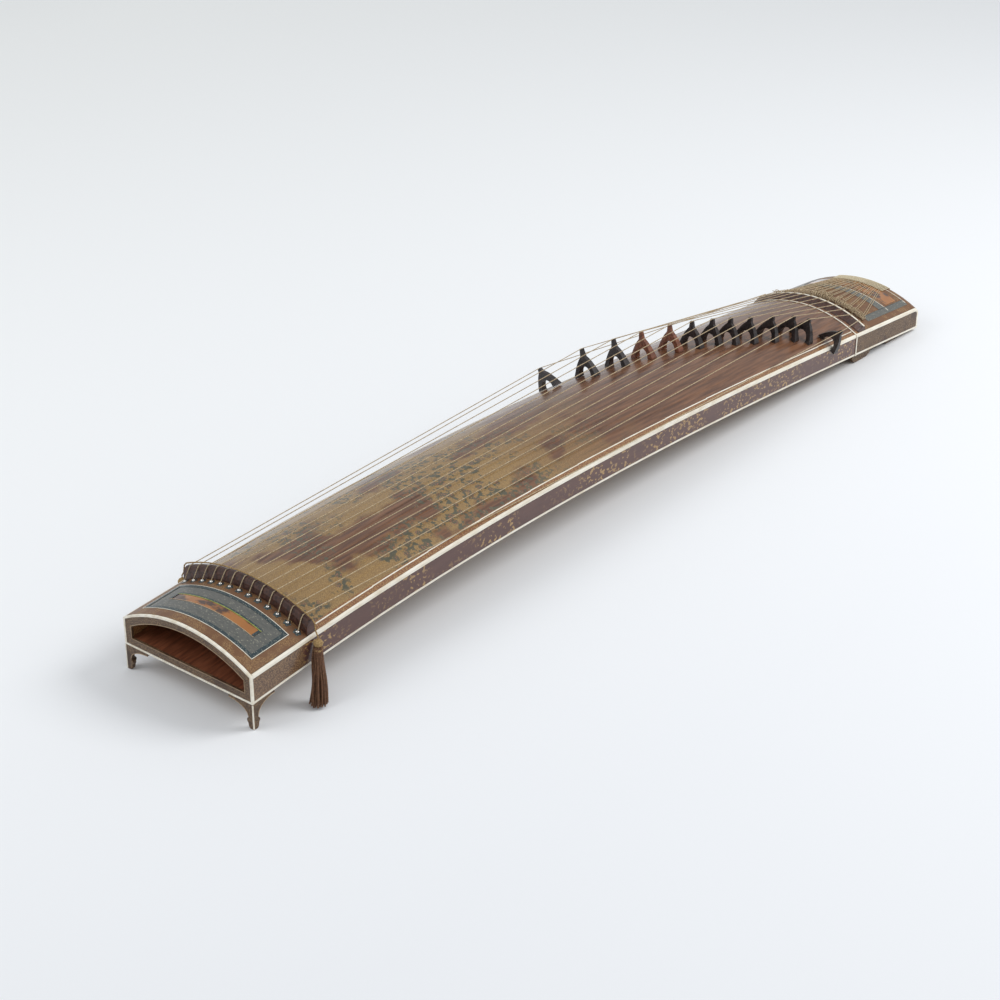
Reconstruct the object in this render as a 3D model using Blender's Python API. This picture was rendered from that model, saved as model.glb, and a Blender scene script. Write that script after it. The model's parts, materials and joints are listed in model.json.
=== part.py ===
import math

import bmesh
import bpy
from mathutils import Matrix, Vector

# Driving dimensions, in metres. Places along the koto are measured from its head end.
LENGTH = 1.82
HEAD_WIDTH = 0.254
TAIL_WIDTH = 0.238
ARCH_RISE = 0.033            # crown of the deck above its edges
HEAD_LIFT = 0.040            # underside above the floor at the head
TAIL_LIFT = 0.006            # underside above the floor at the tail
HEAD_RAKE = 0.1116           # slope of the camber at the head
TAIL_RAKE = -0.078           # slope of the camber at the tail
SIDE_HEIGHT = 0.0405
HEAD_FLARE = 0.003           # extra side height at the head
FLARE_REACH = 0.10           # distance over which the flare dies away
TAIL_CORNER = 0.012          # radius that rounds the deck over at the tail end

# Walls, skins and clearances
WALL = 0.008
BACK_BOARD = 0.006
SKIN = 0.003                 # side panels, edge strips and base strips
EDGE_STRIP_DEPTH = 0.0045
BASE_STRIP_DEPTH = 0.0035
REBATE = 0.0024              # lowered deck that carries the head and tail plates
GAP = 0.0003
SEAT = 0.0004                # gap under a piece that follows the arch
GRID = 0.065                 # longest facet along the camber
ARCH_FACETS = 14

# Head end
TRIM = 0.004
TRIM_FACE = 0.003
FRAME_RECESS = 0.0006
MOUTH_HALF = 0.112
MOUTH_SILL = 0.014
MOUTH_SPRING = 0.033
MOUTH_CROWN = 0.063
MOUTH_DEPTH = 0.085
TONGUE_REACH = 0.072
TONGUE_THICKNESS = 0.003
TONGUE_FOOT_GAP = 0.003
RIDGE_FRONT = 0.1125
RIDGE_LENGTH = 0.018
RIDGE_HEIGHT = 0.0155
RIDGE_END_RISE = 0.005       # the ridge stands taller at its ends than at its crown
INLAY_FRONT = 0.021
INLAY_REAR = 0.0925
INLAY_HALF = 0.1085
SLOT_FRONT = 0.0500
SLOT_REAR = 0.0680
SLOT_HALF = 0.083

# Strings
STRING_COUNT = 13
STRING_SPACING = 0.0186
STRING_RADIUS = 0.0007
EYELET_PLACE = 0.1058
EYELET_RADIUS = 0.0029
EYELET_HEIGHT = 0.0010
HOLE_RADIUS = 0.0014

# Bridges: place of each one, and the shape that they share
BRIDGE_PLACES = [0.9545, 1.012, 1.0775, 1.1335, 1.193, 1.235, 1.272, 1.303, 1.339, 1.383, 1.425, 1.449,
                 1.4935]
BRIDGE_TALL = 0.048          # second bridge
BRIDGE_SHORT = 0.040         # twelfth bridge
EDGE_BRIDGE_HEIGHT = 0.0405  # first and last bridges, which stand astride the edges
EDGE_BRIDGE_LEAN = math.radians(39)
BRIDGE_FOOT_HALF = 0.023
BRIDGE_ARCH_HALF = 0.0135
BRIDGE_ARCH_HEIGHT = 0.018
BRIDGE_SHOULDER_HALF = 0.0095
BRIDGE_SHOULDER_HEIGHT = 0.028
BRIDGE_NECK_HALF = 0.0042
BRIDGE_NECK_RISE = 0.006     # from the shoulder up to the foot of the neck
BRIDGE_TOP_HALF = 0.0030
BRIDGE_GROOVE = 0.0014
BRIDGE_GROOVE_HALF = 0.0016
BRIDGE_DEPTH = 0.015         # along the strings, at the feet
BRIDGE_TOP_DEPTH = 0.005
BRIDGE_SIDE_CLEARANCE = 0.0005

# Tail end
TAIL_LENGTH = 0.238          # from the hoop to the tail end
HOOP_WIDTH = 0.0028
HOOP_THICKNESS = 0.0012
TAIL_RIDGE_FRONT = 0.012     # behind the hoop
TAIL_RIDGE_LENGTH = 0.024
TAIL_RIDGE_HEIGHT = 0.0080
TAIL_STRIP_WIDTH = 0.0040
TAIL_STRIP_HEIGHT = 0.0010
TAIL_PLATE_SETBACK = 0.004   # the tail plate stops short of the end
TAIL_SLOT_FROM_END = 0.075
TAIL_SLOT_LENGTH = 0.040
TAIL_SLOT_HALF = 0.088
BLOCK = 0.016

# Inside and underneath
BRACE = 0.009
BRACE_PLACES = {"brace_head": 0.60, "brace_tail": 1.15}
BRACE_HOLE_HALF = 0.045
SOUND_HOLE_PLACES = [0.235, 1.43]
SOUND_HOLE_LENGTH = 0.120
SOUND_HOLE_WIDTH = 0.075

# Feet
FOOT_BOARD = 0.006
FRONT_SPAN = 0.046
SIDE_SPAN = 0.042
REAR_FOOT_INSET = 0.010
REAR_CROSS_BOARD = 0.018     # from the front of the rear foot

# Tassels, their cord and the spare string ends
TASSEL_PLACE = 0.121
TASSEL_KNOT_RADIUS = 0.0062
TASSEL_OUT = 0.0090          # knot centre outside the side panel
TASSEL_FLARE_OUT = 0.012     # how far the hem stands out past the knot
TASSEL_FLARE_BACK = 0.013    # how far the hem lies towards the head
TASSEL_HEM_HEIGHT = 0.004
TASSEL_HEM_RADIUS = 0.0115
TASSEL_FLUTES = 9
CORD_RADIUS = 0.00125
CORD_HALF = 0.113            # the cord starts down past this
COIL_PLACE = 0.0595          # behind the hoop
COIL_TURNS = 20
COIL_POINTS = 9
COIL_HALF_SPAN = 0.103
COIL_RADIUS = 0.0078
COIL_HEIGHT = 0.0036
COIL_TUBE = 0.0009
BAND_FROM_END = 0.036
BAND_HALF = 0.056
BAND_THICKNESS = 0.0018

BAND_END_SETBACK = 0.003
HOOP = LENGTH - TAIL_LENGTH
FRONT = TRIM + GAP
DECK_SEAT = REBATE - SEAT    # thickness of a plate that lies flush in the rebate


def underside(x):
    """Height of the flat underside: a camber that leaves the head and meets the tail at set slopes."""
    t = x / LENGTH
    tail_part = 3 * t ** 2 - 2 * t ** 3
    return (HEAD_LIFT * (1 - tail_part) + TAIL_LIFT * tail_part
            + LENGTH * HEAD_RAKE * t * (1 - t) ** 2 + LENGTH * TAIL_RAKE * t ** 2 * (t - 1))


def side_height(x):
    return SIDE_HEIGHT + HEAD_FLARE * math.exp(-x / FLARE_REACH)


def corner_drop(x, radius):
    """How far a rounded tail end lies below the straight edge."""
    past = max(0.0, min(x - (LENGTH - TAIL_CORNER), radius))
    return radius - math.sqrt(radius ** 2 - past ** 2)


def edge(x):
    return underside(x) + side_height(x) - corner_drop(x, TAIL_CORNER)


def half_width(x):
    return 0.5 * (HEAD_WIDTH + (TAIL_WIDTH - HEAD_WIDTH) * x / LENGTH)


def deck_half(x):
    """Half the width of the bare deck between the edge strips."""
    return half_width(x) - SKIN - GAP


def arch_radius(x):
    return (half_width(x) ** 2 + ARCH_RISE ** 2) / (2 * ARCH_RISE)


def place(x, y, z):
    """Turns a distance from the head end into the part's own frame, centred on its length."""
    return Vector((x - LENGTH / 2, y, z))


def deck(x, angle, lift=0.0):
    """A point over the deck, at an angle round the arch and a height square to its surface."""
    radius = arch_radius(x)
    height = edge(x) + ARCH_RISE - radius + (radius + lift) * math.cos(angle)
    return place(x, (radius + lift) * math.sin(angle), height)


def over_deck(x, y, lift):
    """A point straight above the deck."""
    return deck(x, angle_at(x, y)) + Vector((0.0, 0.0, lift))


def angle_at(x, y):
    return math.asin(y / arch_radius(x))


def arch_angles(x, y0, y1, facets=ARCH_FACETS):
    a0, a1 = angle_at(x, y0), angle_at(x, y1)
    return [a0 + (a1 - a0) * i / facets for i in range(facets + 1)]


def stations(x0, x1):
    """Cross sections from x0 to x1, on a grid that every long piece shares."""
    inner = [i * GRID for i in range(1, int(LENGTH / GRID) + 1)]
    return [x0] + [x for x in inner if x0 + 0.004 < x < x1 - 0.004] + [x1]


def tail_stations(x0, x1):
    """Stations that also follow the rounded corner of the tail end."""
    start = LENGTH - TAIL_CORNER
    corner = [start + TAIL_CORNER * math.sin(math.radians(a)) for a in (0, 30, 55, 75, 90)]
    corner = [x for x in corner if x < x1 - 0.0004]
    return stations(x0, start)[:-1] + corner + [x1]


def slope(x):
    step = 0.002
    return (edge(x + step) - edge(x - step)) / (2 * step)


def material(name, colour, roughness, metallic=0.0):
    finish = bpy.data.materials.new(name)
    finish.use_nodes = True
    shader = finish.node_tree.nodes["Principled BSDF"]
    shader.inputs["Base Color"].default_value = (*colour, 1.0)
    shader.inputs["Roughness"].default_value = roughness
    shader.inputs["Metallic"].default_value = metallic
    return finish


def finish_object(name, mesh, colour_of, group):
    mesh.materials.append(colour_of)
    body = bpy.data.objects.new(name, mesh)
    group.objects.link(body)
    return body


def mesh_from(bm, name):
    bmesh.ops.remove_doubles(bm, verts=bm.verts, dist=0.00001)
    bmesh.ops.recalc_face_normals(bm, faces=bm.faces)
    mesh = bpy.data.meshes.new(name)
    bm.to_mesh(mesh)
    bm.free()
    return mesh


def loft(name, rings, colour_of, group):
    """A closed solid through rings of matching points, capped at both ends."""
    bm = bmesh.new()
    loops = [[bm.verts.new(point) for point in ring] for ring in rings]
    count = len(rings[0])
    for low, high in zip(loops, loops[1:]):
        for i in range(count):
            j = (i + 1) % count
            bm.faces.new((low[i], low[j], high[j], high[i]))
    bm.faces.new(list(reversed(loops[0])))
    bm.faces.new(loops[-1])
    return finish_object(name, mesh_from(bm, name), colour_of, group)


def board(name, outline, thickness, colour_of, group):
    """A flat outline made as thick as a vector."""
    bm = bmesh.new()
    face = bm.faces.new([bm.verts.new(point) for point in outline])
    raised = bmesh.ops.extrude_face_region(bm, geom=[face])["geom"]
    moved = [item for item in raised if isinstance(item, bmesh.types.BMVert)]
    bmesh.ops.translate(bm, verts=moved, vec=thickness)
    return finish_object(name, mesh_from(bm, name), colour_of, group)


def boolean(target, tool, operation):
    """Cuts or joins a tool for good, then takes the tool out of the scene."""
    modifier = target.modifiers.new(operation, "BOOLEAN")
    modifier.operation = operation
    modifier.object = tool
    modifier.solver = "EXACT"
    bpy.context.view_layer.update()
    shape = bpy.data.meshes.new_from_object(target.evaluated_get(bpy.context.evaluated_depsgraph_get()))
    target.modifiers.clear()
    target.data = shape
    bpy.data.objects.remove(tool)


def tube(name, points, radius, colour_of, group, resolution=2):
    curve = bpy.data.curves.new(name, "CURVE")
    curve.dimensions = "3D"
    curve.bevel_depth = radius
    curve.bevel_resolution = resolution
    curve.use_fill_caps = True
    spline = curve.splines.new("POLY")
    spline.points.add(len(points) - 1)
    for point, target in zip(points, spline.points):
        target.co = (*point, 1.0)
    return finish_object(name, curve, colour_of, group)


def body_section(x, drop):
    """Hollowed log: outer arch and walls, then the inside, as one inverted U."""
    half = deck_half(x)
    foot = underside(x) + BACK_BOARD + GAP
    outer = [deck(x, a, -drop) for a in arch_angles(x, -half, half)]
    inner = inside_outline(x, 0.0)
    return [place(x, -half, foot)] + outer + [place(x, half, foot)] + list(reversed(inner))


def inside_outline(x, clearance):
    """Outline of the hollow, from the near wall's foot over the arch to the far wall's foot."""
    half = deck_half(x) - WALL - clearance
    foot = underside(x) + BACK_BOARD + GAP
    radius = arch_radius(x) - WALL - REBATE - clearance
    reach = math.asin(half / radius)
    facets = ARCH_FACETS - 4
    arch = [deck(x, reach * (2 * i / facets - 1), radius - arch_radius(x)) for i in range(facets + 1)]
    return [place(x, -half, foot)] + arch + [place(x, half, foot)]


def make_body(finishes, group):
    rebate_end = RIDGE_FRONT + RIDGE_LENGTH / 2
    tail_rebate = HOOP + TAIL_RIDGE_FRONT + TAIL_RIDGE_LENGTH / 2
    plate_end = LENGTH - TAIL_PLATE_SETBACK
    step = 0.0002
    rings = [body_section(x, REBATE) for x in stations(FRONT, rebate_end)]
    rings += [body_section(x, 0.0) for x in stations(rebate_end + step, tail_rebate)]
    rings += [body_section(x, REBATE) for x in tail_stations(tail_rebate + step, plate_end)]
    rings += [body_section(x, 0.0) for x in (plate_end + step, LENGTH)]
    loft("body_shell", rings, finishes["deck"], group)


def make_back_board(finishes, group, cutters):
    rings = []
    for x in stations(FRONT, LENGTH):
        half = deck_half(x)
        low, high = underside(x), underside(x) + BACK_BOARD
        rings.append([place(x, -half, low), place(x, half, low), place(x, half, high), place(x, -half, high)])
    back = loft("back_board", rings, finishes["plain wood"], group)
    for centre in SOUND_HOLE_PLACES:
        bm = bmesh.new()
        bmesh.ops.create_cone(bm, cap_ends=True, segments=20, radius1=0.5, radius2=0.5, depth=0.05)
        bmesh.ops.scale(bm, verts=bm.verts, vec=(SOUND_HOLE_LENGTH, SOUND_HOLE_WIDTH, 1.0))
        bmesh.ops.translate(bm, verts=bm.verts, vec=place(centre, 0.0, underside(centre)))
        cutter = finish_object("sound_hole", mesh_from(bm, "sound_hole"), finishes["plain wood"], cutters)
        boolean(back, cutter, "DIFFERENCE")


def make_braces(finishes, group, cutters):
    for name, centre in BRACE_PLACES.items():
        rings = [inside_outline(x, GAP) for x in (centre - BRACE / 2, centre + BRACE / 2)]
        brace = loft(name, rings, finishes["plain wood"], group)
        bm = bmesh.new()
        turn = Matrix.Rotation(math.pi / 2, 3, "Y")
        bmesh.ops.create_cone(bm, cap_ends=True, segments=16, radius1=0.5, radius2=0.5, depth=0.05)
        bmesh.ops.rotate(bm, verts=bm.verts, matrix=turn)
        rise = side_height(centre) / 2
        bmesh.ops.scale(bm, verts=bm.verts, vec=(1.0, 2 * BRACE_HOLE_HALF, rise))
        bmesh.ops.translate(bm, verts=bm.verts, vec=place(centre, 0.0, edge(centre)))
        cutter = finish_object("brace_hole", mesh_from(bm, "brace_hole"), finishes["plain wood"], cutters)
        boolean(brace, cutter, "DIFFERENCE")
    ends = tail_stations(LENGTH - BLOCK, LENGTH - TAIL_PLATE_SETBACK)
    loft("tail_block", [inside_outline(x, GAP) for x in ends], finishes["plain wood"], group)


def end_outline(x, inset):
    """Outline of the whole end face, drawn in from its edges."""
    half = half_width(x) - inset
    low = underside(x) + inset
    radius = arch_radius(x) - inset
    reach = math.asin(half / radius)
    arch = [deck(x, reach * (1 - 2 * i / ARCH_FACETS), -inset) for i in range(ARCH_FACETS + 1)]
    return [place(x, -half, low), place(x, half, low)] + arch


def mouth_arch(x, y):
    """Height of the mouth's curved upper edge at y."""
    rise = MOUTH_CROWN - MOUTH_SPRING
    radius = (MOUTH_HALF ** 2 + rise ** 2) / (2 * rise)
    return underside(x) + MOUTH_CROWN - radius + math.sqrt(radius ** 2 - y ** 2)


def mouth_outline(x, facets=ARCH_FACETS):
    sill = underside(0.0) + MOUTH_SILL
    steps = [MOUTH_HALF * (1 - 2 * i / facets) for i in range(facets + 1)]
    arch = [place(x, y, mouth_arch(0.0, y)) for y in steps]
    return [place(x, -MOUTH_HALF, sill), place(x, MOUTH_HALF, sill)] + arch


def make_head_end(finishes, group, cutters):
    along = Vector((1.0, 0.0, 0.0))
    trim = board("head_trim", end_outline(0.0, 0.0), along * TRIM, finishes["ivory"], group)
    window = [point - along * TRIM for point in end_outline(0.0, TRIM_FACE)]
    boolean(trim, board("trim_window", window, along * TRIM * 3, finishes["ivory"], cutters), "DIFFERENCE")
    face = [point + along * FRAME_RECESS for point in end_outline(0.0, TRIM_FACE + GAP)]
    frame = board("mouth_frame", face, along * (TRIM - FRAME_RECESS), finishes["speckled lacquer"], group)
    mouth = board("mouth", mouth_outline(-TRIM), along * TRIM * 3, finishes["ivory"], cutters)
    boolean(frame, mouth, "DIFFERENCE")
    make_mouth_inside(finishes, group)


def make_mouth_inside(finishes, group):
    rings = []
    for x in stations(FRONT, MOUTH_DEPTH):
        half = deck_half(x) - WALL - GAP
        low, high = underside(x) + BACK_BOARD + GAP, underside(x) + MOUTH_SILL - GAP
        rings.append([place(x, -half, low), place(x, half, low), place(x, half, high), place(x, -half, high)])
    loft("mouth_floor", rings, finishes["red wood"], group)
    rings = []
    facets = ARCH_FACETS
    for i in range(facets + 1):
        y = MOUTH_HALF * (2 * i / facets - 1)
        front, middle, rear = FRONT, (FRONT + TONGUE_REACH) / 2, TONGUE_REACH
        foot = underside(rear) + MOUTH_SILL + TONGUE_FOOT_GAP
        brow = mouth_arch(0.0, y)
        heights = [brow, brow * 0.42 + foot * 0.58 + 0.006 * (brow - foot) / (MOUTH_CROWN - MOUTH_SILL), foot]
        lower = [place(x, y, z) for x, z in zip((front, middle, rear), heights)]
        upper = [point + Vector((0.0, 0.0, TONGUE_THICKNESS)) for point in reversed(lower)]
        rings.append(lower + upper)
    loft("mouth_tongue", rings, finishes["red wood"], group)


def panel_rings(side, xs, low, high):
    rings = []
    for x in xs:
        outer, inner = side * half_width(x), side * (half_width(x) - SKIN)
        rings.append([place(x, outer, low(x)), place(x, inner, low(x)),
                      place(x, inner, high(x)), place(x, outer, high(x))])
    return rings


def make_sides(finishes, group):
    def panel_low(x):
        return underside(x) + BASE_STRIP_DEPTH + GAP

    def panel_high(x):
        inner_corner = corner_drop(x, TAIL_CORNER - EDGE_STRIP_DEPTH - 2 * GAP)
        return underside(x) + side_height(x) - EDGE_STRIP_DEPTH - 2 * GAP - inner_corner

    def base_high(x):
        return underside(x) + BASE_STRIP_DEPTH

    for side, word in ((-1, "near"), (1, "far")):
        xs = stations(FRONT, HOOP - GAP / 2)
        loft("side_panel_" + word, panel_rings(side, xs, panel_low, panel_high), finishes["lacquer"], group)
        xs = tail_stations(HOOP + GAP / 2, LENGTH - EDGE_STRIP_DEPTH - 2 * GAP)
        rings = panel_rings(side, xs, panel_low, panel_high)
        loft("tail_side_" + word, rings, finishes["speckled lacquer"], group)
        rings = panel_rings(side, stations(FRONT, LENGTH), underside, base_high)
        loft("base_strip_" + word, rings, finishes["ivory"], group)
        loft("edge_strip_" + word, edge_strip_rings(side), finishes["ivory"], group)


def edge_strip_rings(side):
    """Along the deck's edge, round the tail corner and down to the base strip."""
    def ring(x, z, turn):
        outer, inner = side * half_width(x), side * (half_width(x) - SKIN)
        inward = Vector((-math.sin(turn), 0.0, -math.cos(turn))) * EDGE_STRIP_DEPTH
        crown = deck(x, angle_at(x, inner)).z - edge(x)
        top = place(x, outer, z)
        top_inner = place(x, inner, z + crown * math.cos(turn))
        return [top, top_inner, place(x, inner, z) + inward, top + inward]

    corner_start = LENGTH - TAIL_CORNER
    rings = [ring(x, edge(x), 0.0) for x in stations(FRONT, corner_start)]
    for degrees in (22, 45, 68, 90):
        turn = math.radians(degrees)
        x = corner_start + TAIL_CORNER * math.sin(turn)
        rings.append(ring(x, edge(x), turn))
    foot = underside(LENGTH - EDGE_STRIP_DEPTH) + BASE_STRIP_DEPTH + 2 * GAP
    rings.append(ring(LENGTH, foot, math.pi / 2))
    return rings


def deck_plate(name, xs, y0, y1, lift0, lift1, colour_of, group, facets=ARCH_FACETS):
    """A plate that lies along the arch; y0 and y1 are functions of x."""
    rings = []
    for x in xs:
        angles = arch_angles(x, y0(x), y1(x), facets)
        lower = [deck(x, a, lift0) for a in angles]
        upper = [deck(x, a, lift1) for a in reversed(angles)]
        rings.append(lower + upper)
    return loft(name, rings, colour_of, group)


def full_plate(name, xs, half, lift0, lift1, colour_of, group, facets=ARCH_FACETS):
    return deck_plate(name, xs, lambda x: -half(x), half, lift0, lift1, colour_of, group, facets)


def window_in(plate, x0, x1, half, cutters, colour_of):
    cutter = full_plate("window", [x0, x1], lambda x: half, -2 * REBATE, 2 * REBATE, colour_of, cutters)
    boolean(plate, cutter, "DIFFERENCE")


def string_lateral(number):
    return STRING_SPACING * ((STRING_COUNT + 1) / 2 - number)


def make_head_deck(finishes, group, cutters):
    plate_half = lambda x: deck_half(x) - GAP
    xs = stations(FRONT, RIDGE_FRONT + RIDGE_LENGTH / 2 - GAP)
    plate = full_plate("forehead_panel", xs, plate_half, -DECK_SEAT, 0.0, finishes["gold lacquer"], group)
    window_in(plate, INLAY_FRONT, INLAY_REAR, INLAY_HALF, cutters, finishes["inlay"])
    for number in range(1, STRING_COUNT + 1):
        angle = angle_at(EYELET_PLACE, string_lateral(number))
        upright = Matrix.Rotation(-angle, 4, "X")
        base = deck(EYELET_PLACE, angle, 0.0)
        collar = round_peg("eyelet", base, upright, EYELET_RADIUS, -DECK_SEAT / 2, EYELET_HEIGHT,
                           finishes["ivory"], cutters)
        boolean(plate, collar, "UNION")
        bore = round_peg("bore", base, upright, HOLE_RADIUS, -2 * REBATE, 3 * EYELET_HEIGHT,
                         finishes["ivory"], cutters)
        boolean(plate, bore, "DIFFERENCE")
    half = INLAY_HALF - GAP
    xs = [INLAY_FRONT + GAP, INLAY_REAR - GAP]
    inlay = full_plate("head_inlay", xs, lambda x: half, -DECK_SEAT, 0.0, finishes["inlay"], group)
    window_in(inlay, SLOT_FRONT, SLOT_REAR, SLOT_HALF, cutters, finishes["inlay"])
    half = SLOT_HALF - GAP
    xs = [SLOT_FRONT + GAP, SLOT_REAR - GAP]
    full_plate("head_tortoiseshell", xs, lambda x: SLOT_HALF - GAP, -DECK_SEAT, 0.0,
               finishes["tortoiseshell"], group, 10)


def round_peg(name, base, upright, radius, low, high, colour_of, group):
    bm = bmesh.new()
    bmesh.ops.create_cone(bm, cap_ends=True, segments=8, radius1=radius, radius2=radius * 0.85,
                          depth=high - low)
    bmesh.ops.translate(bm, verts=bm.verts, vec=(0.0, 0.0, (high + low) / 2))
    bmesh.ops.transform(bm, matrix=Matrix.Translation(base) @ upright, verts=bm.verts)
    return finish_object(name, mesh_from(bm, name), colour_of, group)


def ridge_height(share):
    """Height of the head ridge; share is 0 at its crown and 1 at its ends."""
    return RIDGE_HEIGHT + RIDGE_END_RISE * share ** 2


def arch_bar(name, front, profile, half, colour_of, group):
    """A bar across the arch. profile(share) gives (distance behind front, lift) pairs."""
    rings = []
    for i in range(ARCH_FACETS + 1):
        share = 2 * i / ARCH_FACETS - 1
        rings.append([over_deck(front + back, half * share, lift) for back, lift in profile(share)])
    return loft(name, rings, colour_of, group)


def make_ridges(finishes, group):
    def head_profile(share):
        height, length = ridge_height(share), RIDGE_LENGTH
        return [(0.0, SEAT), (0.06 * length, height * 0.62), (0.22 * length, height * 0.93),
                (0.38 * length, height), (0.62 * length, height), (0.80 * length, height * 0.90),
                (0.95 * length, height * 0.5), (length, SEAT)]

    def tail_profile(share):
        height, length = TAIL_RIDGE_HEIGHT, TAIL_RIDGE_LENGTH
        return [(0.0, SEAT), (0.04 * length, height * 0.22), (0.62 * length, height * 0.86), (0.72 * length, height),
                (0.92 * length, height), (length, height * 0.5), (length, SEAT)]

    def strip_profile(share):
        start, length = 0.74 * TAIL_RIDGE_LENGTH, TAIL_STRIP_WIDTH
        low, high = TAIL_RIDGE_HEIGHT + GAP, TAIL_RIDGE_HEIGHT + GAP + TAIL_STRIP_HEIGHT
        return [(start, low), (start, high), (start + length, high), (start + length, low)]

    half = deck_half(RIDGE_FRONT) - GAP
    arch_bar("head_ridge", RIDGE_FRONT, head_profile, half, finishes["dark wood"], group)
    front = HOOP + TAIL_RIDGE_FRONT
    half = deck_half(front) - GAP
    arch_bar("tail_ridge", front, tail_profile, half, finishes["dark wood"], group)
    arch_bar("tail_ridge_strip", front, strip_profile, half, finishes["ivory"], group)


def make_hoop(finishes, group):
    """The ivory hoop: up one side, over the arch and down the other side."""
    def outline(x, out):
        reach = angle_at(x, half_width(x))
        arch = [deck(x, reach * (2 * i / ARCH_FACETS - 1), out) for i in range(1, ARCH_FACETS)]
        side, low, high = half_width(x) + out, underside(x), edge(x) + out * 0.6
        return ([place(x, -side, low), place(x, -side, high)] + arch
                + [place(x, side, high), place(x, side, low)])

    x0, x1 = HOOP - HOOP_WIDTH / 2, HOOP + HOOP_WIDTH / 2
    corners = [outline(x0, SEAT), outline(x1, SEAT), outline(x1, SEAT + HOOP_THICKNESS),
               outline(x0, SEAT + HOOP_THICKNESS)]
    loft("tail_band", list(zip(*corners)), finishes["ivory"], group)


def make_tail_deck(finishes, group, cutters):
    start = HOOP + TAIL_RIDGE_FRONT + TAIL_RIDGE_LENGTH / 2 + GAP
    xs = tail_stations(start, LENGTH - TAIL_PLATE_SETBACK)
    plate_half = lambda x: deck_half(x) - GAP
    plate = full_plate("tail_panel", xs, plate_half, -DECK_SEAT, 0.0, finishes["gold lacquer"], group)
    x0 = LENGTH - TAIL_SLOT_FROM_END
    x1 = x0 + TAIL_SLOT_LENGTH
    window_in(plate, x0, x1, TAIL_SLOT_HALF, cutters, finishes["inlay"])
    full_plate("tail_tortoiseshell", [x0 + GAP, x1 - GAP], lambda x: TAIL_SLOT_HALF - GAP, -DECK_SEAT, 0.0,
               finishes["tortoiseshell"], group, 10)


def foot_wing(span, top):
    """Outline of a bracket foot: (distance from the corner, height), from the corner round to the sole."""
    lip, ankle, ankle_height = 0.003, 0.0095, 0.019
    curl, curl_height, curl_radius, sole = 0.0128, 0.0125, 0.0045, 0.007
    points = [(0.0, top(0.0)), (TRIM + GAP, top(0.0)), (span / 2, top(span / 2)), (span, top(span)),
              (span, top(span) - lip)]
    fall = top(span) - lip - ankle_height
    for degrees in (110, 125, 140, 155, 168, 180):
        turn = math.radians(degrees)
        points.append((span + (span - ankle) * math.cos(turn), ankle_height + fall * math.sin(turn)))
    points.append((ankle, curl_height + curl_radius))
    for degrees in (60, 20, -20, -60):
        turn = math.radians(degrees)
        across = curl - curl_radius + curl_radius * math.cos(turn)
        points.append((across, curl_height + curl_radius * math.sin(turn)))
    points += [(sole + 0.0025, 0.003), (sole, 0.0), (0.0, 0.0)]
    return points


def make_front_legs(finishes, group, cutters):
    lift = lambda distance: underside(distance) - GAP
    level = lambda distance: underside(0.0) - GAP
    for side, word in ((-1, "near"), (1, "far")):
        corner = side * half_width(0.0)
        front = [place(0.0, corner - side * u, v) for u, v in foot_wing(FRONT_SPAN, level)]
        leg = board("front_leg_" + word, front, Vector((FOOT_BOARD, 0.0, 0.0)), finishes["speckled lacquer"],
                    group)
        flank = [place(u, corner, v) for u, v in foot_wing(SIDE_SPAN, lift)]
        wing = board("leg_wing", flank, Vector((0.0, -side * FOOT_BOARD, 0.0)), finishes["speckled lacquer"],
                     cutters)
        boolean(leg, wing, "UNION")


def rear_wing():
    """Outline of the scalloped foot under the tail: (place, height)."""
    start = HOOP + 0.010
    low = 0.0015
    points = [(start, 0.011), (start + 0.003, 0.006), (start + 0.009, 0.0015), (start + 0.016, 0.0),
              (start + 0.052, 0.0), (start + 0.060, 0.003)]
    cusp = start + 0.068
    for width in (0.020, 0.018, 0.016):
        height = underside(cusp + width / 2) - GAP
        for share in (0.0, 0.25, 0.5, 0.75):
            points.append((cusp + width * share, height * (0.45 + 0.38 * math.sin(math.pi * share))))
        cusp += width
    points += [(cusp, 0.007), (cusp + 0.006, low), (LENGTH - 0.008, low)]
    xs = [LENGTH - 0.004] + [x for x in reversed(stations(start + 0.001, LENGTH - 0.005))]
    return points + [(x, underside(x) - GAP) for x in xs]


def make_rear_foot(finishes, group, cutters):
    start = HOOP + 0.010
    half = half_width(LENGTH) - REAR_FOOT_INSET
    front = start + REAR_CROSS_BOARD
    top = underside(front + FOOT_BOARD) - 2 * GAP
    outline = [place(front, -half, 0.0), place(front, half, 0.0), place(front, half, top),
               place(front, -half, top)]
    foot = board("rear_foot", outline, Vector((FOOT_BOARD, 0.0, 0.0)), finishes["speckled lacquer"], group)
    for side in (-1, 1):
        flank = [place(x, side * half, z) for x, z in rear_wing()]
        wing = board("rear_wing", flank, Vector((0.0, -side * FOOT_BOARD, 0.0)), finishes["speckled lacquer"],
                     cutters)
        boolean(foot, wing, "UNION")


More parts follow.
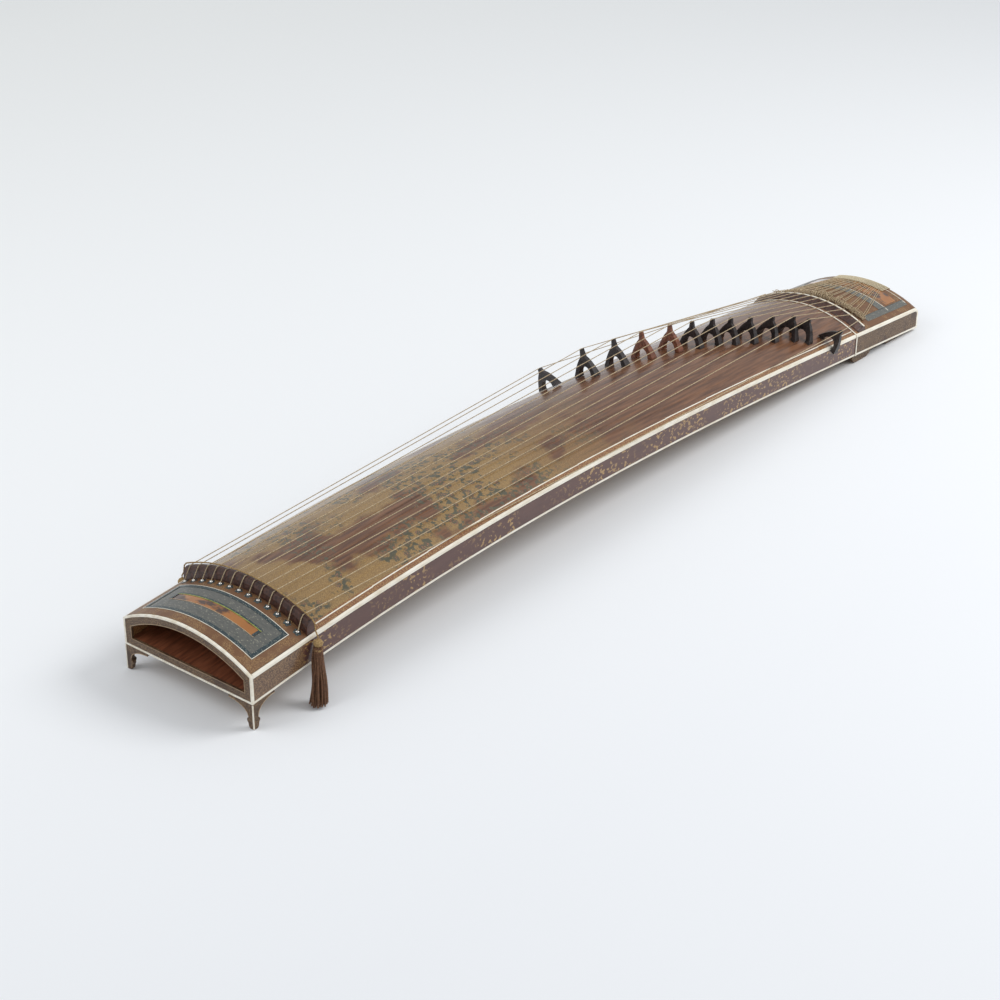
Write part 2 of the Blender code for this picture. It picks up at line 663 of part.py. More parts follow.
def bridge_outline(height, radius):
    """Half outline of a bridge, foot to top: (across, up). The soles follow the deck's arch."""
    def sole(across):
        return SEAT - across ** 2 / (2 * radius)

    foot, arch = BRIDGE_FOOT_HALF, BRIDGE_ARCH_HALF
    side = [(foot, sole(foot)), (foot - 0.0004, 0.0022), (0.0172, 0.0150), (0.0128, 0.0232),
            (BRIDGE_SHOULDER_HALF, BRIDGE_SHOULDER_HEIGHT),
            (BRIDGE_NECK_HALF, BRIDGE_SHOULDER_HEIGHT + BRIDGE_NECK_RISE),
            (BRIDGE_TOP_HALF, height), (BRIDGE_GROOVE_HALF, height)]
    opening = [(arch * math.cos(math.radians(a)), BRIDGE_ARCH_HEIGHT * math.sin(math.radians(a)))
               for a in (20, 42, 66)]
    inside = [(arch, sole(arch))] + opening
    right = list(reversed(inside)) + side
    left = [(-across, up) for across, up in reversed(right)]
    return right + [(0.0, height - BRIDGE_GROOVE)] + left + [(0.0, BRIDGE_ARCH_HEIGHT)]


def bridge_frame(number):
    """Where a bridge stands: its origin on the deck, its lean and its height."""
    x = BRIDGE_PLACES[number - 1]
    radius = arch_radius(x)
    if number in (1, STRING_COUNT):
        side = 1 if number == 1 else -1
        spread = 2 * BRIDGE_ARCH_HALF
        outer = half_width(x) + BRIDGE_SIDE_CLEARANCE
        inner = outer - spread * math.cos(EDGE_BRIDGE_LEAN)
        inner_height = deck(x, angle_at(x, inner), SEAT).z
        centre_height = inner_height - spread / 2 * math.sin(EDGE_BRIDGE_LEAN)
        return place(x, side * (outer + inner) / 2, centre_height), side * EDGE_BRIDGE_LEAN, EDGE_BRIDGE_HEIGHT
    share = (number - 2) / (STRING_COUNT - 3)
    height = BRIDGE_TALL + (BRIDGE_SHORT - BRIDGE_TALL) * share
    angle = math.asin(string_lateral(number) / (radius + height))
    return deck(x, angle, 0.0), angle, height


def make_bridges(finishes, group):
    for number in range(1, STRING_COUNT + 1):
        origin, lean, height = bridge_frame(number)
        x = BRIDGE_PLACES[number - 1]
        flat = number in (1, STRING_COUNT)
        outline = bridge_outline(height, 1000.0 if flat else arch_radius(x))
        colour = finishes["red wood"] if number in (4, 5) else finishes["ebony"]
        name = "bridge_%02d" % number
        shape = [Vector((-BRIDGE_DEPTH / 2, across, up)) for across, up in outline]
        bridge = board(name, shape, Vector((BRIDGE_DEPTH, 0.0, 0.0)), colour, group)
        for vertex in bridge.data.vertices:
            share = max(0.0, vertex.co.z / height)
            vertex.co.x *= 1 + (BRIDGE_TOP_DEPTH / BRIDGE_DEPTH - 1) * share ** 0.8
        bridge.location = origin
        pitch = 0.0 if flat else -math.atan(slope(x))
        bridge.rotation_euler = (Matrix.Rotation(-math.atan(slope(x)), 3, "Y")
                                 @ Matrix.Rotation(-lean, 3, "X")).to_euler()


def string_top(number, along):
    """Centre of the string in its bridge's groove, at a distance along the koto from the bridge's middle."""
    origin, lean, height = bridge_frame(number)
    half_angle = math.atan(BRIDGE_GROOVE_HALF / BRIDGE_GROOVE)
    up = height - BRIDGE_GROOVE + (STRING_RADIUS + GAP) / math.sin(half_angle)
    tilt = math.atan(slope(BRIDGE_PLACES[number - 1]))
    raised = Vector((along, up * math.sin(lean), up * math.cos(lean)))
    return origin + Matrix.Rotation(-tilt, 3, "Y") @ raised


def make_strings(finishes, group):
    for number in range(1, STRING_COUNT + 1):
        y = string_lateral(number)
        start = angle_at(EYELET_PLACE, y)
        share = y / deck_half(RIDGE_FRONT)
        crest = ridge_height(share) + GAP * 2 + STRING_RADIUS
        points = [deck(EYELET_PLACE, start, -DECK_SEAT / 2), deck(EYELET_PLACE, start, EYELET_HEIGHT + 0.0012)]
        points += [over_deck(RIDGE_FRONT + 0.0015, y, crest * 0.80), over_deck(RIDGE_FRONT + 0.0052, y, crest),
                   over_deck(RIDGE_FRONT + RIDGE_LENGTH * 0.66, y, crest)]
        points += [string_top(number, side * (BRIDGE_TOP_DEPTH / 2 + 2 * GAP)) for side in (-1, 1)]
        tail = HOOP + TAIL_RIDGE_FRONT
        end = y * TAIL_WIDTH / HEAD_WIDTH
        crest = TAIL_RIDGE_HEIGHT + TAIL_STRIP_HEIGHT + GAP * 3 + STRING_RADIUS
        points += [over_deck(tail + 0.72 * TAIL_RIDGE_LENGTH, end, crest),
                   over_deck(tail + 0.93 * TAIL_RIDGE_LENGTH, end, crest),
                   over_deck(tail + 1.06 * TAIL_RIDGE_LENGTH, end, crest * 0.72),
                   over_deck(tail + 1.16 * TAIL_RIDGE_LENGTH, end, STRING_RADIUS + SEAT)]
        tube("string_%02d" % number, points, STRING_RADIUS, finishes["silk"], group)


def knot_centre(side):
    x = TASSEL_PLACE
    return place(x, side * (half_width(x) + TASSEL_OUT), edge(x) - 0.009)


def make_tassels(finishes, group):
    """Round knot, drawn-in neck and a fluted skirt that flares to its hem."""
    for side, word in ((-1, "near"), (1, "far")):
        top = knot_centre(side)
        hem = top + Vector((-TASSEL_FLARE_BACK, side * TASSEL_FLARE_OUT, TASSEL_HEM_HEIGHT - top.z))
        radius = TASSEL_KNOT_RADIUS
        rings = []
        for degrees in (8, 35, 65, 95, 125):
            turn = math.radians(degrees)
            rings.append((top + Vector((0.0, 0.0, radius * math.cos(turn))), radius * math.sin(turn), 0.0))
        for share, width in ((0.10, 0.0042), (0.14, 0.0054), (0.30, 0.0066), (0.52, 0.0076), (0.76, 0.0092),
                             (1.0, TASSEL_HEM_RADIUS)):
            rings.append((top.lerp(hem, share), width, 0.0 if share < 0.12 else 0.10))
        count = TASSEL_FLUTES * 3
        outlines = []
        for centre, width, flute in rings:
            outline = []
            for i in range(count):
                turn = 2 * math.pi * i / count
                reach = width * (1 + flute * math.cos(TASSEL_FLUTES * turn))
                outline.append(centre + Vector((reach * math.cos(turn), reach * math.sin(turn), 0.0)))
            outlines.append(outline)
        loft("tassel_" + word, outlines, finishes["tassel silk"], group)


def make_cord(finishes, group):
    """The tassel cord, over the head ridge and down to a knot on each side."""
    x = RIDGE_FRONT + RIDGE_LENGTH * 0.52
    over_strings = 2 * STRING_RADIUS + 3 * GAP + CORD_RADIUS
    points = []
    for side in (1, -1):
        knot = knot_centre(side)
        top = knot + Vector((0.0, 0.0, TASSEL_KNOT_RADIUS + GAP))
        reach = side * half_width(TASSEL_PLACE)
        fall = [top, top + Vector((0.0, 0.0, 0.004)),
                place(TASSEL_PLACE + 0.0003, reach + side * 0.0048, edge(x) + 0.0085),
                place(x, reach + side * 0.0032, edge(x) + 0.0200),
                place(x, reach - side * 0.0018, edge(x) + 0.0255)]
        points.append(fall)
    shares = [1 - 2 * i / 12 for i in range(13)]
    middle = [over_deck(x, CORD_HALF * share, ridge_height(share) + over_strings) for share in shares]
    tube("tassel_cord", points[0] + middle + list(reversed(points[1])), CORD_RADIUS, finishes["silk"], group)


def make_spare_strings(finishes, group):
    """The strings' spare ends: one long coil behind the tail ridge, and a flat bundle over the tail end."""
    x = HOOP + COIL_PLACE
    reach = angle_at(x, COIL_HALF_SPAN)
    total = COIL_TURNS * COIL_POINTS
    points = []
    for i in range(total + 1):
        turn = 2 * math.pi * i / COIL_POINTS
        angle = reach * (1 - 2 * i / total)
        lift = SEAT + COIL_TUBE + COIL_HEIGHT * (1 - math.cos(turn))
        points.append(deck(x + COIL_RADIUS * math.sin(turn), angle, lift))
    tube("string_coils", points, COIL_TUBE, finishes["silk"], group, 1)
    xs = tail_stations(LENGTH - BAND_FROM_END, LENGTH - BAND_END_SETBACK)
    full_plate("string_band", xs, lambda x: BAND_HALF, SEAT, SEAT + BAND_THICKNESS, finishes["silk"], group, 8)


def make_finishes():
    return {
        "deck": material("deck", (0.30, 0.16, 0.075), 0.32),
        "plain wood": material("plain wood", (0.45, 0.30, 0.17), 0.65),
        "red wood": material("red wood", (0.20, 0.075, 0.035), 0.35),
        "dark wood": material("dark wood", (0.065, 0.028, 0.018), 0.35),
        "ebony": material("ebony", (0.022, 0.016, 0.016), 0.35),
        "ivory": material("ivory", (0.87, 0.83, 0.74), 0.40),
        "lacquer": material("lacquer", (0.105, 0.045, 0.035), 0.30),
        "speckled lacquer": material("speckled lacquer", (0.20, 0.125, 0.055), 0.45),
        "gold lacquer": material("gold lacquer", (0.32, 0.19, 0.075), 0.40, 0.2),
        "inlay": material("inlay", (0.20, 0.21, 0.20), 0.35),
        "tortoiseshell": material("tortoiseshell", (0.45, 0.19, 0.03), 0.25),
        "silk": material("silk", (0.50, 0.40, 0.26), 0.70),
        "tassel silk": material("tassel silk", (0.25, 0.115, 0.05), 0.75),
    }


def main():
    for item in list(bpy.data.objects):
        bpy.data.objects.remove(item)
    group = bpy.data.collections.new("koto")
    cutters = bpy.data.collections.new("cutters")
    for collection in (group, cutters):
        bpy.context.scene.collection.children.link(collection)
    finishes = make_finishes()
    make_body(finishes, group)
    make_back_board(finishes, group, cutters)
    make_braces(finishes, group, cutters)
    make_head_end(finishes, group, cutters)
    make_sides(finishes, group)
    make_head_deck(finishes, group, cutters)
    make_ridges(finishes, group)
    make_hoop(finishes, group)
    make_tail_deck(finishes, group, cutters)
    make_front_legs(finishes, group, cutters)
    make_rear_foot(finishes, group, cutters)
    make_bridges(finishes, group)
    make_strings(finishes, group)
    make_tassels(finishes, group)
    make_cord(finishes, group)
    make_spare_strings(finishes, group)


main()
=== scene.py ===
import json
import math
import random
import bmesh
import bpy
from mathutils import Euler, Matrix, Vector


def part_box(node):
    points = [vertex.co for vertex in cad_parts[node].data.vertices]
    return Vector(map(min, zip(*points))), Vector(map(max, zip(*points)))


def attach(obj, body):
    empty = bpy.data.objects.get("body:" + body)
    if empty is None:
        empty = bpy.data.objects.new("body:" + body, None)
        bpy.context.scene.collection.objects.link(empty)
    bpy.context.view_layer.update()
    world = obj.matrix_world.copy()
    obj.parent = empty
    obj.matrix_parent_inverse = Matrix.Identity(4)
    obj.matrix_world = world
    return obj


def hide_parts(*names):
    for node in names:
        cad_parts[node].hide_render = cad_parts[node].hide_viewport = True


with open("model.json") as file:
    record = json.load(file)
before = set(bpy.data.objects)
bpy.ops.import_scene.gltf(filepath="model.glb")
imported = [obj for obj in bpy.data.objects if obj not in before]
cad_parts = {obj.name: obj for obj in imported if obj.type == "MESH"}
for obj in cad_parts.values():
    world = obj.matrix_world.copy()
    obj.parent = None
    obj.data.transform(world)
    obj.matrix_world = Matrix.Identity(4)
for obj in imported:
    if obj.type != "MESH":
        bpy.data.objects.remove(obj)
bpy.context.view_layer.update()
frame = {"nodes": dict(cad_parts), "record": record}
randomDraw = random.Random(13)

# shape of the body, the same values as the solids have, in metres; x runs from the head end
body = {"length": 1.82, "headWidth": 0.254, "tailWidth": 0.238, "archRise": 0.033, "headLift": 0.040,
        "tailLift": 0.006, "headRake": 0.1116, "tailRake": -0.078, "sideHeight": 0.0405, "headFlare": 0.003,
        "flareReach": 0.10, "tailCorner": 0.012, "hoopPlace": 1.582}
strings = {"count": 13, "middle": 7, "spacing": 0.0186}


def underside(x):
    t = x / body["length"]
    tailPart = 3 * t ** 2 - 2 * t ** 3
    return (body["headLift"] * (1 - tailPart) + body["tailLift"] * tailPart
            + body["length"] * (body["headRake"] * t * (1 - t) ** 2 + body["tailRake"] * t ** 2 * (t - 1)))


def edgeHeight(x):
    past = max(0.0, x - (body["length"] - body["tailCorner"]))
    drop = body["tailCorner"] - math.sqrt(max(body["tailCorner"] ** 2 - past ** 2, 0.0))
    return underside(x) + body["sideHeight"] + body["headFlare"] * math.exp(-x / body["flareReach"]) - drop


def halfWidth(x):
    return 0.5 * (body["headWidth"] + (body["tailWidth"] - body["headWidth"]) * x / body["length"])


def overDeck(x, y, lift=0.0):
    # a point straight above the arched deck
    radius = (halfWidth(x) ** 2 + body["archRise"] ** 2) / (2 * body["archRise"])
    height = edgeHeight(x) + body["archRise"] - radius + math.sqrt(radius ** 2 - y ** 2)
    return Vector((x - body["length"] / 2, y, height + lift))


def stringOffset(number):
    return strings["spacing"] * (strings["middle"] - number)


# material tools
def startFinish(name, roughness, metallic=0.0):
    finish = bpy.data.materials.new(name)
    finish.use_nodes = True
    shader = finish.node_tree.nodes["Principled BSDF"]
    shader.inputs["Roughness"].default_value = roughness
    shader.inputs["Metallic"].default_value = metallic
    place = finish.node_tree.nodes.new("ShaderNodeTexCoord").outputs["Object"]
    return finish, finish.node_tree, shader, place


def stretched(tree, place, stretch):
    mapping = tree.nodes.new("ShaderNodeMapping")
    mapping.inputs["Scale"].default_value = stretch
    tree.links.new(place, mapping.inputs["Vector"])
    return mapping.outputs["Vector"]


def noise(tree, place, scale, stretch=(1, 1, 1), detail=5):
    texture = tree.nodes.new("ShaderNodeTexNoise")
    texture.inputs["Scale"].default_value = scale
    texture.inputs["Detail"].default_value = detail
    tree.links.new(stretched(tree, place, stretch), texture.inputs["Vector"])
    return texture.outputs["Fac"]


def cells(tree, place, scale, stretch=(1, 1, 1)):
    texture = tree.nodes.new("ShaderNodeTexVoronoi")
    texture.inputs["Scale"].default_value = scale
    tree.links.new(stretched(tree, place, stretch), texture.inputs["Vector"])
    return texture.outputs["Distance"]


def between(tree, value, low, high):
    # 0 below low, 1 above high; low may be the larger one
    spread = tree.nodes.new("ShaderNodeMapRange")
    spread.inputs["From Min"].default_value = low
    spread.inputs["From Max"].default_value = high
    tree.links.new(value, spread.inputs["Value"])
    return spread.outputs["Result"]


def streaks(tree, value):
    return between(tree, value, 0.35, 0.65)


def times(tree, first, second):
    maths = tree.nodes.new("ShaderNodeMath")
    maths.operation = "MULTIPLY"
    tree.links.new(first, maths.inputs[0])
    tree.links.new(second, maths.inputs[1])
    return maths.outputs["Value"]


def mixed(tree, share, first, second):
    mix = tree.nodes.new("ShaderNodeMix")
    mix.data_type = "RGBA"
    tree.links.new(share, mix.inputs["Factor"])
    for colour, socket in ((first, mix.inputs[6]), (second, mix.inputs[7])):
        if isinstance(colour, tuple):
            socket.default_value = (*colour, 1.0)
        else:
            tree.links.new(colour, socket)
    return mix.outputs[2]


def along(tree, place, axis):
    split = tree.nodes.new("ShaderNodeSeparateXYZ")
    tree.links.new(place, split.inputs["Vector"])
    return split.outputs[axis]


def fromMiddle(tree, place):
    # how far a point is from the middle line, on either side
    across = tree.nodes.new("ShaderNodeMath")
    across.operation = "ABSOLUTE"
    tree.links.new(along(tree, place, "Y"), across.inputs[0])
    return across.outputs["Value"]


def colourWith(tree, shader, colour):
    tree.links.new(colour, shader.inputs["Base Color"])


def relief(tree, shader, height, depth):
    bump = tree.nodes.new("ShaderNodeBump")
    bump.inputs["Distance"].default_value = depth
    tree.links.new(height, bump.inputs["Height"])
    tree.links.new(bump.outputs["Normal"], shader.inputs["Normal"])


# finishes; colours are linear
wood = {"scale": 14, "stretch": (1, 16, 16), "relief": 0.0004}


def woodFinish(name, dark, light, roughness):
    # grain runs along the body
    finish, tree, shader, place = startFinish(name, roughness)
    grain = noise(tree, place, wood["scale"], wood["stretch"])
    colourWith(tree, shader, mixed(tree, streaks(tree, grain), dark, light))
    relief(tree, shader, grain, wood["relief"])
    return finish


sprinkle = {"grainScale": 900, "cloudScale": 38, "cloudStart": 0.62, "cloudFull": 0.74, "relief": 0.0002,
            "roughness": 0.4}


def speckledFinish(name, ground, gold, amount):
    # lacquer with a dense sprinkle of gold grains that thickens in soft clouds
    finish, tree, shader, place = startFinish(name, sprinkle["roughness"])
    grains = between(tree, cells(tree, place, sprinkle["grainScale"]), 0.50, 0.20)
    clouds = between(tree, noise(tree, place, sprinkle["cloudScale"]), sprinkle["cloudStart"] - amount,
                     sprinkle["cloudFull"] - amount)
    share = times(tree, grains, clouds)
    colourWith(tree, shader, mixed(tree, share, ground, gold))
    relief(tree, shader, share, sprinkle["relief"])
    return finish


deckLook = {"woodDark": (0.085, 0.035, 0.018), "woodLight": (0.20, 0.090, 0.042), "goldBright": (0.42, 0.27, 0.10),
            "goldDull": (0.24, 0.145, 0.055), "leaf": (0.085, 0.080, 0.050), "petalRed": (0.30, 0.13, 0.075),
            "petalGreen": (0.10, 0.085, 0.05), "edgeDark": (0.21, 0.088, 0.034), "edgeGold": (0.38, 0.22, 0.085),
            "goldStart": 0.02, "goldFull": -0.30, "edgeStart": 0.1115, "edgeFull": 0.1130, "roughness": 0.30,
            "coat": 0.35, "coatRoughness": 0.12, "relief": 0.0002}


def deckFinish():
    # brown wood, misted with gold and scattered rosettes towards the head
    finish, tree, shader, place = startFinish("lacquered deck", deckLook["roughness"])
    shader.inputs["Coat Weight"].default_value = deckLook["coat"]
    shader.inputs["Coat Roughness"].default_value = deckLook["coatRoughness"]
    grain = noise(tree, place, 9, (1, 22, 22))
    boardTone = mixed(tree, streaks(tree, grain), deckLook["woodDark"], deckLook["woodLight"])
    headPart = between(tree, along(tree, place, "X"), deckLook["goldStart"], deckLook["goldFull"])
    mist = times(tree, between(tree, noise(tree, place, 7, (1, 1.5, 1)), 0.44, 0.50), headPart)
    gold = mixed(tree, between(tree, cells(tree, place, 700), 0.1, 0.6), deckLook["goldBright"],
                 deckLook["goldDull"])
    haze = mixed(tree, mist, boardTone, gold)
    patches = times(tree, between(tree, noise(tree, place, 10, (1, 1.4, 1)), 0.52, 0.47), headPart)
    rosettes = times(tree, between(tree, cells(tree, place, 62), 0.38, 0.30), patches)
    petals = mixed(tree, between(tree, cells(tree, place, 330), 0.2, 0.5), deckLook["petalRed"],
                   deckLook["petalGreen"])
    leaves = times(tree, between(tree, noise(tree, place, 120), 0.52, 0.58), patches)
    scattered = mixed(tree, leaves, haze, deckLook["leaf"])
    picture = mixed(tree, rosettes, scattered, petals)
    border = between(tree, fromMiddle(tree, place), deckLook["edgeStart"], deckLook["edgeFull"])
    edging = mixed(tree, between(tree, cells(tree, place, 500), 0.5, 0.3), deckLook["edgeDark"],
                   deckLook["edgeGold"])
    colourWith(tree, shader, mixed(tree, border, picture, edging))
    relief(tree, shader, grain, deckLook["relief"])
    return finish


sideLook = {"groundDark": (0.060, 0.022, 0.018), "groundLight": (0.115, 0.048, 0.036), "sprig": (0.36, 0.22, 0.085),
            "headGround": (0.085, 0.042, 0.024), "headGold": (0.33, 0.20, 0.095), "headStart": -0.806,
            "headFull": -0.812, "roughness": 0.28, "coat": 0.3}


def sideFinish():
    # dark red-brown lacquer with sparse gold sprigs, and a gold sprinkle at the head
    finish, tree, shader, place = startFinish("side lacquer", sideLook["roughness"])
    shader.inputs["Coat Weight"].default_value = sideLook["coat"]
    sprigs = between(tree, noise(tree, place, 150, (1, 1, 1.3), 8), 0.55, 0.60)
    areas = between(tree, noise(tree, place, 11), 0.42, 0.58)
    ground = mixed(tree, noise(tree, place, 20, (1, 5, 5)), sideLook["groundDark"], sideLook["groundLight"])
    gilded = mixed(tree, times(tree, sprigs, areas), ground, sideLook["sprig"])
    sprinkled = mixed(tree, between(tree, cells(tree, place, 620), 0.52, 0.30), sideLook["headGround"],
                      sideLook["headGold"])
    headPart = between(tree, along(tree, place, "X"), sideLook["headStart"], sideLook["headFull"])
    colourWith(tree, shader, mixed(tree, headPart, gilded, sprinkled))
    return finish


inlayLook = {"dark": (0.045, 0.055, 0.052), "light": (0.170, 0.165, 0.150), "pearlDark": (0.12, 0.16, 0.13),
             "pearlLight": (0.50, 0.44, 0.34), "roughness": 0.32}


def inlayFinish():
    # grey ground with short pearl dashes
    finish, tree, shader, place = startFinish("grey inlay", inlayLook["roughness"])
    dashes = between(tree, cells(tree, place, 190, (2.2, 0.8, 0.8)), 0.24, 0.17)
    ground = mixed(tree, noise(tree, place, 260, (2, 0.6, 0.6)), inlayLook["dark"], inlayLook["light"])
    pearl = mixed(tree, noise(tree, place, 220), inlayLook["pearlDark"], inlayLook["pearlLight"])
    colourWith(tree, shader, mixed(tree, dashes, ground, pearl))
    return finish


borderLook = {"dark": (0.016, 0.030, 0.038), "light": (0.040, 0.062, 0.068), "dot": (0.26, 0.28, 0.24),
              "roughness": 0.3}


def borderFinish():
    # dark blue-green band with rows of pale dots
    finish, tree, shader, place = startFinish("dotted inlay border", borderLook["roughness"])
    dots = between(tree, cells(tree, place, 420), 0.30, 0.18)
    ground = mixed(tree, noise(tree, place, 80), borderLook["dark"], borderLook["light"])
    colourWith(tree, shader, mixed(tree, dots, ground, borderLook["dot"]))
    return finish


shellLook = {"amberDark": (0.24, 0.070, 0.010), "amberLight": (0.46, 0.19, 0.030), "blot": (0.050, 0.016, 0.006),
             "roughness": 0.14, "coat": 0.6}


def tortoiseshellFinish():
    finish, tree, shader, place = startFinish("tortoiseshell", shellLook["roughness"])
    shader.inputs["Coat Weight"].default_value = shellLook["coat"]
    blots = between(tree, noise(tree, place, 60, (1, 0.5, 1)), 0.50, 0.60)
    amber = mixed(tree, noise(tree, place, 24), shellLook["amberDark"], shellLook["amberLight"])
    colourWith(tree, shader, mixed(tree, blots, amber, shellLook["blot"]))
    return finish


silk = {"fibreScale": 420, "stretch": (1, 1, 1.5), "relief": 0.0003, "roughness": 0.75}


def silkFinish(name, dark, light):
    finish, tree, shader, place = startFinish(name, silk["roughness"])
    fibres = noise(tree, place, silk["fibreScale"], silk["stretch"])
    colourWith(tree, shader, mixed(tree, streaks(tree, fibres), dark, light))
    relief(tree, shader, fibres, silk["relief"])
    return finish


ivoryLook = {"clean": (0.84, 0.80, 0.70), "stained": (0.66, 0.58, 0.44), "roughness": 0.38}


def ivoryFinish():
    finish, tree, shader, place = startFinish("ivory", ivoryLook["roughness"])
    stain = between(tree, noise(tree, place, 30, (1, 4, 4)), 0.40, 0.75)
    colourWith(tree, shader, mixed(tree, stain, ivoryLook["clean"], ivoryLook["stained"]))
    return finish


beadLook = {"dull": (0.50, 0.49, 0.46), "bright": (0.88, 0.87, 0.84), "roughness": 0.25}


def beadFinish():
    finish, tree, shader, place = startFinish("pale metal", beadLook["roughness"], metallic=1.0)
    tarnish = noise(tree, place, 300)
    colourWith(tree, shader, mixed(tree, tarnish, beadLook["dull"], beadLook["bright"]))
    return finish


def makeFinishes():
    # the names with an underscore are the slots of the solids
    return {
        "deck": deckFinish(), "lacquer": sideFinish(), "inlay": inlayFinish(), "ivory": ivoryFinish(),
        "tortoiseshell": tortoiseshellFinish(), "bead": beadFinish(), "border": borderFinish(),
        "tongue": woodFinish("vault wood", (0.17, 0.070, 0.040), (0.25, 0.115, 0.070), 0.30),
        "greenLine": woodFinish("yellow-green line", (0.16, 0.19, 0.030), (0.32, 0.36, 0.080), 0.3),
        "dullIvory": woodFinish("dull ivory", (0.36, 0.25, 0.15), (0.52, 0.40, 0.27), 0.4),
        "plain_wood": woodFinish("paulownia", (0.20, 0.12, 0.06), (0.36, 0.235, 0.13), 0.6),
        "red_wood": woodFinish("red wood", (0.10, 0.030, 0.014), (0.22, 0.075, 0.035), 0.35),
        "dark_wood": woodFinish("rosewood", (0.030, 0.012, 0.009), (0.085, 0.034, 0.022), 0.33),
        "ebony": woodFinish("ebony", (0.010, 0.008, 0.008), (0.036, 0.024, 0.022), 0.33),
        "speckled_lacquer": speckledFinish("speckled lacquer", (0.060, 0.032, 0.018), (0.40, 0.25, 0.12), 0.26),
        "gold_lacquer": speckledFinish("gold sprinkled lacquer", (0.155, 0.070, 0.028), (0.46, 0.29, 0.11), 0.16),
        "silk": silkFinish("tan silk", (0.28, 0.20, 0.115), (0.56, 0.45, 0.29)),
        "bandSilk": silkFinish("cream silk", (0.42, 0.35, 0.22), (0.66, 0.58, 0.42)),
        "cordSilk": silkFinish("golden silk", (0.22, 0.135, 0.05), (0.44, 0.29, 0.12)),
        "tassel_silk": silkFinish("brown silk", (0.085, 0.036, 0.017), (0.20, 0.095, 0.045)),
    }


def dressNodes(finishes):
    slots = {part["node"]: part["material_slot"] for part in frame["record"]["subparts"]}
    for name, node in frame["nodes"].items():
        node.data.materials.clear()
        node.data.materials.append(finishes["tongue" if name == "mouth_tongue" else slots[name]])


# tools for new pieces
def addPiece(name, shape, finish, bodyName="root"):
    piece = bpy.data.objects.new(name, shape)
    bpy.context.scene.collection.objects.link(piece)
    shape.materials.append(finish)
    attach(piece, bodyName)
    return piece


def meshFrom(name, draft):
    shape = bpy.data.meshes.new(name)
    draft.to_mesh(shape)
    draft.free()
    return shape


sheet = {"lift": 0.00005, "thickness": 0.0003, "stepAlong": 0.04, "stepAcross": 0.008}


def deckSheet(name, x0, x1, y0, y1, finish):
    # a thin inlaid strip that lies on the deck
    draft = bmesh.new()
    bmesh.ops.create_grid(draft, x_segments=max(1, int((x1 - x0) / sheet["stepAlong"])),
                          y_segments=max(1, int((y1 - y0) / sheet["stepAcross"])), size=0.5)
    for vert in draft.verts:
        x = x0 + (vert.co.x + 0.5) * (x1 - x0)
        vert.co = overDeck(x, y0 + (vert.co.y + 0.5) * (y1 - y0), sheet["lift"] + sheet["thickness"])
    bmesh.ops.recalc_face_normals(draft, faces=draft.faces)
    bmesh.ops.solidify(draft, geom=draft.faces[:], thickness=sheet["thickness"])
    bmesh.ops.recalc_face_normals(draft, faces=draft.faces)
    return addPiece(name, meshFrom(name, draft), finish)


def strandBundle(name, routes, thickness, finish, bodyName="root"):
    # round strands along the routes, six-sided, with closed ends
    bundle = bpy.data.curves.new(name, "CURVE")
    bundle.dimensions = "3D"
    bundle.bevel_depth = thickness
    bundle.bevel_resolution = 1
    bundle.use_fill_caps = True
    for route in routes:
        spline = bundle.splines.new("POLY")
        spline.points.add(len(route) - 1)
        for point, target in zip(route, spline.points):
            target.co = (*point, 1.0)
    return addPiece(name, bundle, finish, bodyName)


def twisted(route, offset, turnLength, step):
    # two plies wound round one route
    plies = 2
    ways = [[] for ply in range(plies)]
    run = 0.0
    for start, end in zip(route, route[1:]):
        direction = (end - start).normalized()
        side = direction.cross(Vector((1, 0, 0)) if abs(direction.x) < 0.8 else Vector((0, 0, 1))).normalized()
        other = direction.cross(side)
        count = max(2, int((end - start).length / step))
        for i in range(count):
            spot = start.lerp(end, i / count)
            for ply in range(plies):
                turn = 2 * math.pi * (run / turnLength + ply / plies)
                ways[ply].append(spot + offset * (side * math.cos(turn) + other * math.sin(turn)))
            run += (end - start).length / count
    return ways


# inlaid lines and bands of the deck, the head panel and its slot
trim = {"lineInset": 0.0105, "lineWidth": 0.0016, "lineStart": 0.134, "lineParts": 12, "hoopGap": 0.003,
        "inlayFront": 0.021, "inlayRear": 0.0925, "inlayHalf": 0.1085, "frameLine": 0.0009, "borderWidth": 0.0055,
        "slotFront": 0.050, "slotRear": 0.068, "slotHalf": 0.083, "slotEnd": 0.004, "greenFront": 0.0035,
        "greenRear": 0.0020}


def makeDeckLines(finishes):
    start, end = trim["lineStart"], body["hoopPlace"] - trim["hoopGap"]
    count = trim["lineParts"]
    for word, side in (("near", -1), ("far", 1)):
        for i in range(count):
            x0, x1 = (start + (end - start) * (i + k) / count for k in (0, 1))
            y = side * (halfWidth((x0 + x1) / 2) - trim["lineInset"])
            deckSheet("deck_line_%s_%02d" % (word, i), x0, x1, y - trim["lineWidth"] / 2,
                      y + trim["lineWidth"] / 2, finishes["ivory"])


